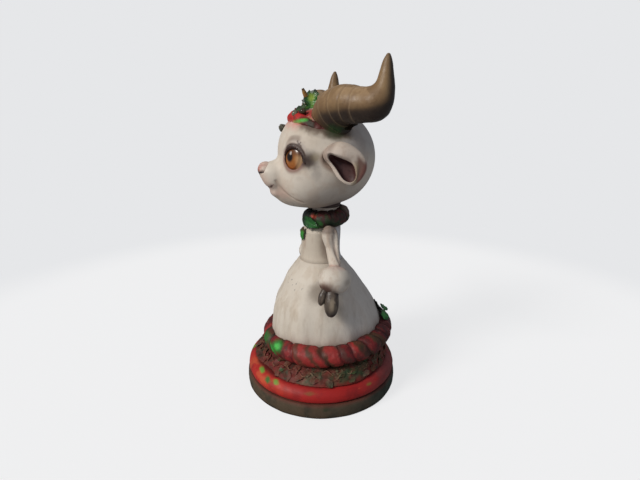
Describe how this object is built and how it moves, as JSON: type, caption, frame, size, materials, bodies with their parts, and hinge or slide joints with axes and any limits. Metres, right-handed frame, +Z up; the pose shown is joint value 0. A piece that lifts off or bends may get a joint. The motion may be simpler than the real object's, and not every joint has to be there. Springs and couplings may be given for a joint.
{
  "type": "goat figurine",
  "caption": "Standing goat doll with swept horns, holly crown and bell gown on a round base; head turns and arms swing.",
  "frame": {"origin": "centre of the underside of the felt pad, where the figure rests on a table", "axes": "+Z up through the base; the goat looks along -Y, its own left side is +X"},
  "size_m": [0.1052, 0.1, 0.1996],
  "materials": {
    "felt": "napped felt",
    "plinth_paint": "weathered dark brown paint on turned wood",
    "red_paint": "satin red paint on cast resin",
    "steel": "plain bright steel",
    "foliage_paint": "mottled brown, red and green paint on cast relief",
    "gown_paint": "off-white satin paint with beige-grey streaks",
    "garland_paint": "satin paint in red and green bands",
    "leaf_paint": "green satin paint, lighter at the veins",
    "cream_paint": "cream satin paint with brown-grey shading",
    "brass": "turned brass",
    "leather_washer": "undyed leather",
    "nose_paint": "pink satin paint",
    "eye_gloss": "clear gloss over an amber iris",
    "lash_paint": "dark brown satin paint",
    "ear_paint": "cream outside, maroon inside",
    "horn_paint": "tan satin paint, dark below and at the tip",
    "peg_wood": "plain beech dowel",
    "twig_paint": "tan paint with a dark tip",
    "berry_paint": "gloss red paint",
    "cone_paint": "grey-brown matt paint",
    "hoof_paint": "grey-brown paint with a dark tip"
  },
  "bodies": {
    "body": {"felt_pad": "felt", "plinth": "plinth_paint", "base_dome": "red_paint", "base_screw_1": "steel", "base_screw_2": "steel", "base_screw_3": "steel", "foliage_ring": "foliage_paint", "gown": "gown_paint", "hem_garland": "garland_paint", "hem_leaf_1": "leaf_paint", "hem_leaf_2": "leaf_paint", "hem_leaf_3": "leaf_paint", "bodice": "gown_paint", "neck": "cream_paint", "collar_garland": "garland_paint", "collar_leaf": "leaf_paint", "chest_leaf": "leaf_paint", "tie_rod": "steel", "rod_nut": "brass", "rod_washer": "steel", "head_washer": "leather_washer", "head_nut": "brass", "shoulder_pin": "steel"},
    "head": {"head_shell": "cream_paint", "neck_bush": "brass", "nose": "nose_paint", "eye_left": "eye_gloss", "eye_right": "eye_gloss", "eyelid_left": "lash_paint", "eyelid_right": "lash_paint", "ear_left": "ear_paint", "ear_right": "ear_paint", "horn_left": "horn_paint", "horn_right": "horn_paint", "horn_peg_left": "peg_wood", "horn_peg_right": "peg_wood", "crown_garland": "garland_paint", "crown_leaf_tall": "leaf_paint", "crown_leaf_dark": "leaf_paint", "crown_leaf_low": "leaf_paint", "crown_curl_left": "leaf_paint", "crown_curl_right": "leaf_paint", "crown_twig": "twig_paint", "crown_berry_1": "berry_paint", "crown_berry_2": "berry_paint", "crown_berry_3": "berry_paint", "brow_cone": "cone_paint"},
    "arm_left": {"sleeve_left": "gown_paint", "cuff_left": "gown_paint", "hoof_left": "hoof_paint", "side_toe_left": "hoof_paint", "shoulder_bush_left": "brass"},
    "arm_right": {"sleeve_right": "gown_paint", "cuff_right": "gown_paint", "hoof_right": "hoof_paint", "side_toe_right": "hoof_paint", "shoulder_bush_right": "brass"}
  },
  "joints": [
    {"name": "head_turn", "type": "hinge", "parent": "body", "child": "head", "pos_m": [0, 0.0032, 0.1182], "axis": [0, 0, 1], "range_deg": [-80, 80]},
    {"name": "arm_left_swing", "type": "hinge", "parent": "body", "child": "arm_left", "pos_m": [0.0172, 0, 0.104], "axis": [-1, 0, 0], "range_deg": [-35, 85]},
    {"name": "arm_right_swing", "type": "hinge", "parent": "body", "child": "arm_right", "pos_m": [-0.0172, 0, 0.104], "axis": [-1, 0, 0], "range_deg": [-35, 85]}
  ]
}
